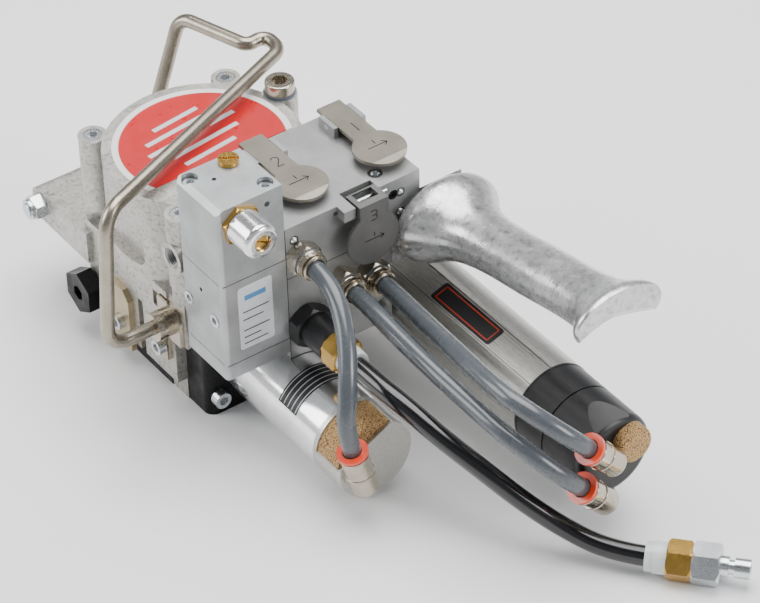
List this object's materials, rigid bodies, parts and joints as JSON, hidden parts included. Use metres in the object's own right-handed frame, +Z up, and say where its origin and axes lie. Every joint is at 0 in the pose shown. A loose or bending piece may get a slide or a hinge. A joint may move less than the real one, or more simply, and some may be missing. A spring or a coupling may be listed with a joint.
{
  "type": "pneumatic strapping tool",
  "caption": "Hand-held pneumatic strapping tool with feed and weld motors, push-lever valve block, timer valve, suspension bail, cast handle and air hoses.",
  "frame": {"origin": "middle of the tool's base, on the plane that the sole rests on, without the hoses and the plug", "axes": "+X towards the rear ends of the motors, +Y towards the handle side, +Z up"},
  "size_m": [0.4343, 0.2043, 0.1687],
  "materials": {
    "cast_aluminium": "rough cast, blasted",
    "handle_aluminium": "polished casting",
    "anodised_block": "light grey anodised, fine machined",
    "timer_aluminium": "pale grey anodised",
    "motor_aluminium": "extruded, satin",
    "polished_aluminium": "polished",
    "nickel": "satin nickel plate",
    "zinc_steel": "zinc plated",
    "tool_steel": "ground",
    "lever_steel": "satin nickel plate",
    "lever_grey": "blasted steel",
    "bail_wire": "brushed stainless wire",
    "wear_steel": "tempered tan",
    "black_steel": "black oxide",
    "black_plastic": "moulded, satin",
    "grey_plastic": "moulded",
    "red_plastic": "moulded",
    "brass": "machined",
    "bronze": "porous sintered bronze",
    "red_label": "printed label",
    "white_label": "printed label",
    "seal_rubber": "moulded",
    "grey_hose": "extruded nylon",
    "black_hose": "extruded polyurethane"
  },
  "bodies": {
    "frame": {"gear_housing": "cast_aluminium", "gear_case": "cast_aluminium", "housing_cover": "cast_aluminium", "cover_label": "red_label", "port_plug": "nickel", "port_plug_seal": "seal_rubber", "socket_screws": "zinc_steel", "front_bolt": "zinc_steel", "front_nut": "zinc_steel", "base_plate": "black_steel", "foot_block": "black_steel", "wear_plate": "wear_steel", "bail_clamp": "nickel", "bail": "bail_wire", "valve_block": "anodised_block", "port_block": "anodised_block", "lever_pins": "zinc_steel", "timer_top": "timer_aluminium", "timer_body": "timer_aluminium", "timer_base": "timer_aluminium", "timer_screws": "zinc_steel", "timer_label": "white_label", "regulator_collar": "brass", "tension_motor_housing": "motor_aluminium", "tension_motor_cap": "black_plastic", "weld_motor_housing": "polished_aluminium", "weld_motor_end": "motor_aluminium", "silencers": "bronze", "hose_fittings": "nickel", "elbow_fittings": "nickel", "air_swivel": "black_plastic", "inlet_nut": "brass", "inlet_collet": "grey_plastic", "weld_hose": "grey_hose", "tension_hose_upper": "grey_hose", "tension_hose_lower": "grey_hose", "supply_hose": "black_hose", "plug_collet": "grey_plastic", "plug_nut": "brass", "air_plug": "zinc_steel", "handle": "handle_aluminium"},
    "lever_1": {"valve_lever_1": "lever_steel"},
    "lever_2": {"valve_lever_2": "lever_steel"},
    "lever_3": {"valve_lever_3": "lever_grey"},
    "plunger_1": {"valve_plunger_1": "nickel"},
    "plunger_2": {"valve_plunger_2": "nickel"},
    "plunger_3": {"valve_plunger_3": "nickel"},
    "throttle": {"throttle_screw": "brass"},
    "regulator_cap": {"regulator_cap": "polished_aluminium"},
    "regulator_screw": {"regulator_screw": "brass"},
    "eccentric": {"hex_eccentric": "black_steel"},
    "tension_rotor": {"tension_rotor": "tool_steel"},
    "weld_rotor": {"weld_rotor": "tool_steel"},
    "feed_block": {"feed_bearing_block": "tool_steel"},
    "feed_wheel": {"feed_wheel": "tool_steel"},
    "clamp_piston": {"clamp_piston": "tool_steel"},
    "weld_jaw": {"weld_jaw": "tool_steel"},
    "ring_weld": {"release_ring_weld": "red_plastic"},
    "ring_upper": {"release_ring_upper": "red_plastic"},
    "ring_lower": {"release_ring_lower": "red_plastic"}
  },
  "joints": [
    {"name": "lever_1_push", "type": "hinge", "parent": "frame", "child": "lever_1", "pos_m": [-0.04575, 0.05103, 0.14], "axis": [0, 1, 0], "range_deg": [0, 4], "stiffness_Nm_per_rad": 0.1, "springref_deg": -11.46},
    {"name": "lever_2_push", "type": "hinge", "parent": "frame", "child": "lever_2", "pos_m": [-0.04575, 0.00128, 0.14], "axis": [0, 1, 0], "range_deg": [0, 4], "stiffness_Nm_per_rad": 0.1, "springref_deg": -11.46},
    {"name": "lever_3_push", "type": "hinge", "parent": "frame", "child": "lever_3", "pos_m": [0.00845, 0.02428, 0.1325], "axis": [0, 1, 0], "range_deg": [0, 7], "stiffness_Nm_per_rad": 0.1, "springref_deg": -11.46},
    {"name": "plunger_1_travel", "type": "slide", "parent": "frame", "child": "plunger_1", "axis": [0, 0, -1], "range_m": [0, 0.00225]},
    {"name": "plunger_2_travel", "type": "slide", "parent": "frame", "child": "plunger_2", "axis": [0, 0, -1], "range_m": [0, 0.00225]},
    {"name": "plunger_3_travel", "type": "slide", "parent": "frame", "child": "plunger_3", "axis": [-1, 0, 0], "range_m": [0, 0.00235]},
    {"name": "throttle_turn", "type": "hinge", "parent": "frame", "child": "throttle", "pos_m": [-0.02275, -0.03472, 0.166], "axis": [0, 0, 1], "range_deg": [-180, 180]},
    {"name": "regulator_cap_turn", "type": "hinge", "parent": "frame", "child": "regulator_cap", "pos_m": [0.01225, -0.04972, 0.1535], "axis": [1, 0, 0], "range_deg": [-90, 90]},
    {"name": "regulator_screw_turn", "type": "hinge", "parent": "regulator_cap", "child": "regulator_screw", "pos_m": [0.02425, -0.04972, 0.1535], "axis": [1, 0, 0], "range_deg": [-180, 180]},
    {"name": "eccentric_turn", "type": "hinge", "parent": "frame", "child": "eccentric", "pos_m": [-0.12975, -0.06322, 0.0284], "axis": [0, 1, 0], "range_deg": [-90, 90]},
    {"name": "tension_rotor_spin", "type": "hinge", "parent": "frame", "child": "tension_rotor", "pos_m": [0.00925, 0.06678, 0.046], "axis": [1, 0, 0], "continuous": true},
    {"name": "weld_rotor_spin", "type": "hinge", "parent": "frame", "child": "weld_rotor", "pos_m": [0.00925, -0.01942, 0.0274], "axis": [1, 0, 0], "continuous": true},
    {"name": "feed_block_travel", "type": "slide", "parent": "frame", "child": "feed_block", "axis": [0, 0, -1], "range_m": [0, 0.0043], "stiffness_N_per_m": 2000, "springref_m": -0.005},
    {"name": "feed_wheel_spin", "type": "hinge", "parent": "feed_block", "child": "feed_wheel", "pos_m": [-0.11275, -0.04622, 0.0263], "axis": [0, 1, 0], "continuous": true},
    {"name": "clamp_travel", "type": "slide", "parent": "frame", "child": "clamp_piston", "axis": [0, 0, -1], "range_m": [0, 0.0043], "stiffness_N_per_m": 2000, "springref_m": -0.005},
    {"name": "weld_jaw_shake", "type": "slide", "parent": "clamp_piston", "child": "weld_jaw", "axis": [0, 1, 0], "range_m": [-0.0015, 0.0015], "stiffness_N_per_m": 2000},
    {"name": "ring_weld_press", "type": "slide", "parent": "frame", "child": "ring_weld", "axis": [0, 0.2541, -0.9672], "range_m": [0, 0.0012], "stiffness_N_per_m": 500, "springref_m": -0.002},
    {"name": "ring_upper_press", "type": "slide", "parent": "frame", "child": "ring_upper", "axis": [0, 0.6649, -0.7469], "range_m": [0, 0.0012], "stiffness_N_per_m": 500, "springref_m": -0.002},
    {"name": "ring_lower_press", "type": "slide", "parent": "frame", "child": "ring_lower", "axis": [0, 0.6649, -0.7469], "range_m": [0, 0.0012], "stiffness_N_per_m": 500, "springref_m": -0.002}
  ],
  "couplings": [
    {"joint": "plunger_1_travel", "follows": "lever_1_push", "m_per_rad": 0.031},
    {"joint": "plunger_2_travel", "follows": "lever_2_push", "m_per_rad": 0.031},
    {"joint": "plunger_3_travel", "follows": "lever_3_push", "m_per_rad": 0.0185},
    {"joint": "feed_wheel_spin", "follows": "tension_rotor_spin", "ratio": 0.025}
  ]
}
